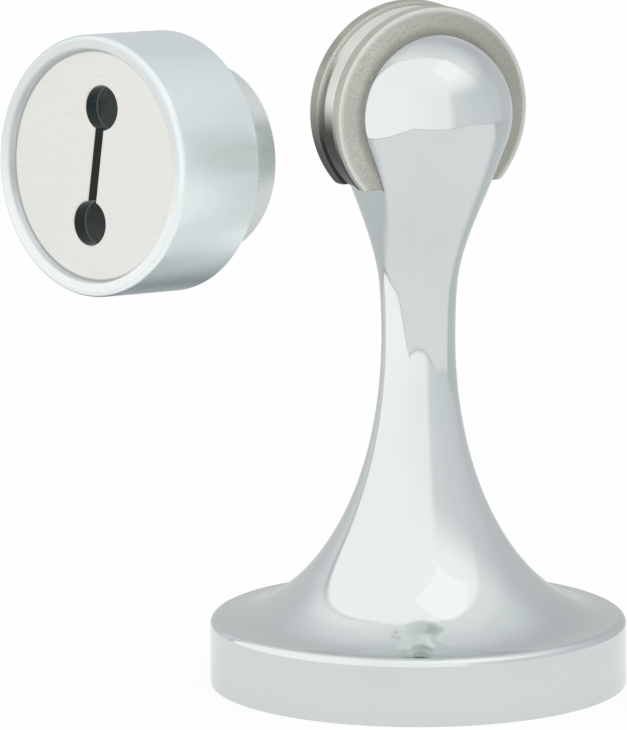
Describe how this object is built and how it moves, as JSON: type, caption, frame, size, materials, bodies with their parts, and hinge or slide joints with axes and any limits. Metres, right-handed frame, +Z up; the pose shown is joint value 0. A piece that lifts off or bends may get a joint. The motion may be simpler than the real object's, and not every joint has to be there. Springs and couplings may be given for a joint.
{
  "type": "floor door holder",
  "caption": "Magnetic door holder: a chromed floor post whose ball head clamps a magnet between two steel plates, and a round sprung catch for the door.",
  "frame": {"origin": "centre of the stand's underside, on the floor", "axes": "+Z up along the post; the pole plates stand in the XZ plane and the post's front looks along -Y"},
  "size_m": [0.0667, 0.0651, 0.0856],
  "materials": {
    "chrome_casting": "mirror chrome plating on a die casting",
    "chrome_cup": "mirror chrome plating",
    "pole_steel": "matte bead-blasted steel",
    "magnet_nickel": "nickel-plated magnet, polished",
    "screw_steel": "zinc-plated steel",
    "plate_steel": "zinc-plated sheet steel",
    "brushed_strike": "finely brushed, bright",
    "spring_steel": "spring wire",
    "buffer_rubber": "matte black rubber",
    "base_steel": "satin steel"
  },
  "bodies": {
    "holder": {"post": "chrome_casting", "front_pole_plate": "pole_steel", "rear_pole_plate": "pole_steel", "head_magnet": "magnet_nickel", "head_screw": "screw_steel", "floor_plate": "plate_steel", "floor_stud": "screw_steel", "catch_cup": "chrome_cup", "catch_spring": "spring_steel", "buffer_sleeve": "buffer_rubber", "cup_back": "plate_steel", "door_base": "base_steel"},
    "strike": {"strike_disc": "brushed_strike"}
  },
  "joints": [
    {"name": "strike_travel", "type": "slide", "parent": "holder", "child": "strike", "axis": [0.9499, 0.305, -0.068], "range_m": [0, 0.002], "stiffness_N_per_m": 400, "springref_m": -0.003, "deforming": ["catch_spring"]}
  ]
}
